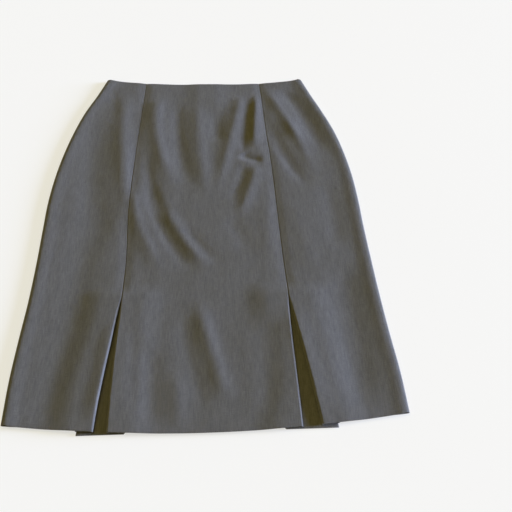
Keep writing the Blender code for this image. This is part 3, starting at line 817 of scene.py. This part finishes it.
def grain_group():
    """Fine grain and rubbed spots of a hard surface."""
    tree, given, out = new_group("hard_grain", (
        ("Vector", "Vector", None), ("Color", "Color", (0.1, 0.1, 0.1, 1)), ("Worn", "Color", (0.3, 0.3, 0.3, 1)),
        ("Wear", "Float", 0.3), ("Roughness", "Float", 0.4),
    ), (("Color", "Color"), ("Roughness", "Float"), ("Height", "Float")))
    grain = noise_at(tree, given["Vector"], 3000.0, 4.0, 0.6)
    rubbed = noise_at(tree, given["Vector"], 700.0, 3.0)
    worn = feed(tree, place(tree, "ShaderNodeMapRange"), Value=rubbed, From_Min=0.55, From_Max=0.72)
    worn = sums(tree, "MULTIPLY", worn.outputs[0], given["Wear"])
    rough = sums(tree, "ADD", given["Roughness"], sums(tree, "MULTIPLY", sums(tree, "SUBTRACT", grain, 0.5), 0.25))
    feed(tree, out, Color=mixed(tree, worn, given["Color"], given["Worn"]), Roughness=rough, Height=grain)
    return tree


def new_look(name, group, depth, roughness, sheen=0.0, metallic=0.0, **inputs):
    """A material whose colour and relief come from a node group, with the rest set on its shader."""
    look = bpy.data.materials.new(name)
    look.use_nodes = True
    tree = look.node_tree
    shader = tree.nodes["Principled BSDF"]
    pattern = place(tree, "ShaderNodeGroup")
    pattern.node_tree = group
    where = place(tree, "ShaderNodeTexCoord").outputs["Object"]
    feed(tree, pattern, Vector=where, **inputs)
    bump = place(tree, "ShaderNodeBump")
    height = pattern.outputs.get("Threads") or pattern.outputs["Height"]
    feed(tree, bump, Height=height, Distance=depth, Strength=1.0)
    feed(tree, shader, Base_Color=pattern.outputs["Color"], Normal=bump.outputs[0])
    feed(tree, shader, Metallic=metallic, Sheen_Weight=sheen, Sheen_Roughness=0.45)
    shader.inputs["Specular IOR Level"].default_value = 0.25
    if "Nap" in pattern.outputs:
        rough = sums(tree, "MULTIPLY_ADD", sums(tree, "SUBTRACT", pattern.outputs["Nap"], 0.5), 0.3, roughness)
        feed(tree, shader, Roughness=rough)
    else:
        feed(tree, shader, Roughness=pattern.outputs["Roughness"])
    return look


def solid_colour(colour):
    return (*colour, 1.0)


def worsted():
    made = bpy.data.materials.get("grey_worsted")
    if made:
        return made
    cloth = bpy.context.scene.skirt_cloth
    return new_look("grey_worsted", woven_group(), 0.1 * MM, 0.82, sheen=0.2,
                    Light=solid_colour(cloth.light_yarn), Dark=solid_colour(cloth.dark_yarn),
                    Yarns_per_Metre=2200.0, Streaks=0.55, Flecks=0.5)


def zip_tape_look():
    cloth = bpy.context.scene.skirt_cloth
    light = solid_colour([channel * 1.3 for channel in cloth.tape_colour])
    return new_look("grey_zip_tape", woven_group(), 0.15 * MM, 0.8, sheen=0.1, Light=light,
                    Dark=solid_colour(cloth.tape_colour), Yarns_per_Metre=1600.0, Streaks=0.3, Flecks=0.2)


def hard_look(name, colour, wear, roughness, metallic):
    return new_look(name, grain_group(), 0.01 * MM, roughness, metallic=metallic, Color=solid_colour(colour),
                    Worn=(0.35, 0.35, 0.36, 1.0), Wear=wear, Roughness=roughness)


def floor_look():
    look = bpy.data.materials.new("pale_floor")
    look.use_nodes = True
    tree = look.node_tree
    where = place(tree, "ShaderNodeTexCoord").outputs["Object"]
    fine = place(tree, "ShaderNodeMapRange")
    feed(tree, fine, Value=noise_at(tree, where, 90.0, 3.0), To_Min=0.86, To_Max=0.94)
    shader = tree.nodes["Principled BSDF"]
    stage = bpy.context.scene.skirt_stage
    feed(tree, shader, Roughness=fine.outputs[0])
    shader.inputs["Base Color"].default_value = solid_colour([FLOOR_LIT * c for c in stage.floor_colour])
    shader.inputs["Emission Color"].default_value = solid_colour(stage.floor_colour)
    shader.inputs["Emission Strength"].default_value = 1 - FLOOR_LIT
    return look


class SKIRT_OT_centre_front(bpy.types.Operator):
    """Make the centre front, with its pleat returns"""
    bl_idname = "skirt.centre_front"
    bl_label = "Centre Front"

    def execute(self, context):
        cloth_piece("centre_front", centre_front_mesh("centre_front"), worsted(),
                    context.scene.skirt_cut.cloth_thickness, "worsted",
                    *CUTS["centre_front"],
                    ["back_right", "back_left", "pleat_underlay_right", "pleat_underlay_left"])
        return {"FINISHED"}


class SKIRT_OT_side_fronts(bpy.types.Operator):
    """Make the two side fronts, each with its pleat return"""
    bl_idname = "skirt.side_fronts"
    bl_label = "Side Fronts"

    def execute(self, context):
        for side, name in SIDE_NAMES:
            cloth_piece("side_front_" + name, side_front_mesh("side_front_" + name, side), worsted(),
                        context.scene.skirt_cut.cloth_thickness, "worsted",
                        *CUTS["side_front"], ["back_" + name, "pleat_underlay_" + name])
        return {"FINISHED"}


class SKIRT_OT_underlays(bpy.types.Operator):
    """Make the backings of the two inverted pleats"""
    bl_idname = "skirt.underlays"
    bl_label = "Pleat Underlays"

    def execute(self, context):
        for side, name in SIDE_NAMES:
            cloth_piece("pleat_underlay_" + name, underlay_mesh("pleat_underlay_" + name, side), worsted(),
                        context.scene.skirt_cut.cloth_thickness, "worsted",
                        *CUTS["pleat_underlay"], ["back_" + name])
        return {"FINISHED"}


class SKIRT_OT_backs(bpy.types.Operator):
    """Make the two back panels"""
    bl_idname = "skirt.backs"
    bl_label = "Backs"

    def execute(self, context):
        for side, name in SIDE_NAMES:
            cloth_piece("back_" + name, back_mesh("back_" + name, side), worsted(),
                        context.scene.skirt_cut.cloth_thickness, "worsted",
                        *CUTS["back"], ["floor"])
        return {"FINISHED"}


class SKIRT_OT_zip(bpy.types.Operator):
    """Make the zip's tapes and coils, and finish its slider and pull tab"""
    bl_idname = "skirt.zip"
    bl_label = "Zip"

    def execute(self, context):
        cloth = context.scene.skirt_cloth
        tape_look = zip_tape_look()
        for side, name in SIDE_NAMES:
            cloth_piece("zip_tape_" + name, tape_mesh("zip_tape_" + name, side), tape_look,
                        TAPE_THICKNESS, "zip_tape", *CUTS["zip_tape"], ["back_" + name])
        coil = bpy.data.objects.new("zip_coil", coil_curve("zip_coil"))
        context.scene.collection.objects.link(coil)
        coil.data.materials.append(hard_look("grey_nylon_coil", cloth.coil_colour, 0.1, 0.45, 0.0))
        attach(coil, "skirt")
        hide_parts("zip_chain")
        enamel = hard_look("grey_enamel", cloth.enamel_colour, 0.6, 0.38, 0.6)
        for name in ("zip_slider", "zip_pull_tab"):
            part = bpy.data.objects[name]
            for slot in part.material_slots:
                slot.material = enamel
        return {"FINISHED"}


def add_light(name, direction, strength, angle, colour):
    """A sun whose light arrives from a direction."""
    light = bpy.data.lights.new(name, "SUN")
    light.energy = strength
    light.angle = math.radians(angle)
    light.color = colour
    lamp = bpy.data.objects.new(name, light)
    lamp.rotation_mode = "QUATERNION"
    lamp.rotation_quaternion = Vector(direction).to_track_quat("Z", "Y")
    bpy.context.scene.collection.objects.link(lamp)


def room_world(strength):
    """Warm even light, with a plain pale backdrop beyond the floor."""
    world = bpy.data.worlds.new("room")
    world.use_nodes = True
    tree = world.node_tree
    air = feed(tree, tree.nodes["Background"], Color=solid_colour(ROOM_COLOUR), Strength=strength)
    backdrop = place(tree, "ShaderNodeBackground")
    feed(tree, backdrop, Color=solid_colour(BACKDROP_COLOUR), Strength=1.0)
    seen = place(tree, "ShaderNodeLightPath").outputs["Is Camera Ray"]
    both = feed(tree, place(tree, "ShaderNodeMixShader"), i0=seen, i1=air.outputs[0], i2=backdrop.outputs[0])
    tree.links.new(both.outputs[0], tree.nodes["World Output"].inputs["Surface"])
    return world


class SKIRT_OT_stage(bpy.types.Operator):
    """Make the floor, the lights and the camera"""
    bl_idname = "skirt.stage"
    bl_label = "Stage"

    def execute(self, context):
        stage = context.scene.skirt_stage
        mesh = bpy.data.meshes.new("floor")
        corners = [(-1, -1), (1, -1), (1, 1), (-1, 1)]
        mesh.from_pydata([(FLOOR_HALF * x, FLOOR_HALF * y, 0.0) for x, y in corners], [], [(0, 1, 2, 3)])
        mesh.materials.append(floor_look())
        floor = bpy.data.objects.new("floor", mesh)
        floor.location.z = -0.05 * MM
        context.scene.collection.objects.link(floor)
        height = stage.window_height
        add_light("window", (math.cos(height), WINDOW_SIDE, math.sin(height)),
                  stage.window_strength, WINDOW_SPREAD, WINDOW_COLOUR)
        add_light("lamp", LAMP_DIRECTION, stage.lamp_strength, LAMP_SPREAD, LAMP_COLOUR)
        context.scene.world = room_world(stage.room_strength)
        context.scene.view_settings.view_transform = "Standard"
        camera = bpy.data.objects.new("camera", bpy.data.cameras.new("camera"))
        camera.data.lens = CAMERA_LENS
        camera.data.sensor_width = 36.0
        camera.data.clip_start = 0.01
        turn = Matrix.Rotation(-math.radians(CAMERA_YAW), 4, "Z")
        turn @= Matrix.Rotation(math.radians(90 - CAMERA_PITCH), 4, "X")
        turn @= Matrix.Rotation(math.radians(CAMERA_ROLL), 4, "Z")
        camera.matrix_world = Matrix.Translation(CAMERA_PLACE) @ turn
        context.scene.collection.objects.link(camera)
        context.scene.camera = camera
        return {"FINISHED"}


class SKIRT_PT_panel(bpy.types.Panel):
    bl_label = "Pleated Midi Skirt"
    bl_space_type = "VIEW_3D"
    bl_region_type = "UI"
    bl_category = "Skirt"

    def draw(self, context):
        for settings in (context.scene.skirt_cut, context.scene.skirt_cloth, context.scene.skirt_stage):
            box = self.layout.box()
            for key in settings.__annotations__:
                box.prop(settings, key)
        for operator in OPERATORS:
            self.layout.operator(operator.bl_idname)


OPERATORS = (SKIRT_OT_centre_front, SKIRT_OT_side_fronts, SKIRT_OT_underlays, SKIRT_OT_backs,
             SKIRT_OT_zip, SKIRT_OT_stage)
SETTINGS = {"skirt_cut": SkirtCutSettings, "skirt_cloth": SkirtClothSettings, "skirt_stage": SkirtStageSettings}


def register():
    for made in (*SETTINGS.values(), *OPERATORS, SKIRT_PT_panel):
        bpy.utils.register_class(made)
    for name, settings in SETTINGS.items():
        setattr(bpy.types.Scene, name, PointerProperty(type=settings))


def unregister():
    for name in SETTINGS:
        delattr(bpy.types.Scene, name)
    for made in reversed((*SETTINGS.values(), *OPERATORS, SKIRT_PT_panel)):
        bpy.utils.unregister_class(made)


def main():
    register()
    bpy.ops.skirt.centre_front()
    bpy.ops.skirt.side_fronts()
    bpy.ops.skirt.underlays()
    bpy.ops.skirt.backs()
    bpy.ops.skirt.zip()
    bpy.ops.skirt.stage()


if __name__ == "__main__":
    main()
